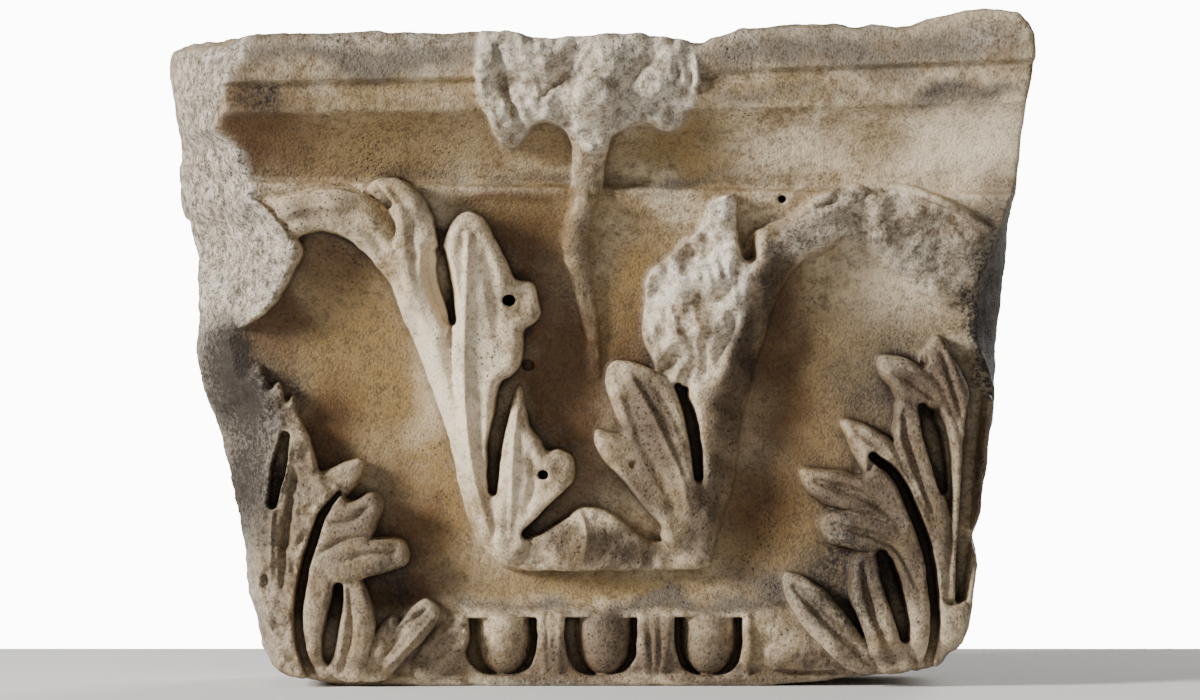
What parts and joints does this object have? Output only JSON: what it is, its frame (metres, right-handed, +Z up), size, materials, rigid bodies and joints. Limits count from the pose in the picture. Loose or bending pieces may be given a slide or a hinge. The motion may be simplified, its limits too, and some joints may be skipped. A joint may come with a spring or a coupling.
{
  "type": "pilaster capital",
  "caption": "Carved marble pilaster capital with paired stems, corner leaves, an egg band and a moulded abacus, worn and broken at its left side and upper corners.",
  "frame": {"origin": "in the flat lower bed, below the middle egg and half way through the depth of the foot", "axes": "+Z up, the carved front looks along -Y, the flat back that met the wall looks along +Y, +X to the right seen from the front"},
  "size_m": [0.519, 0.167, 0.407],
  "materials": {
    "marble": "weathered white marble with an ochre and brown crust, matt"
  },
  "bodies": {
    "root": {"capital_block": "marble"}
  },
  "joints": []
}
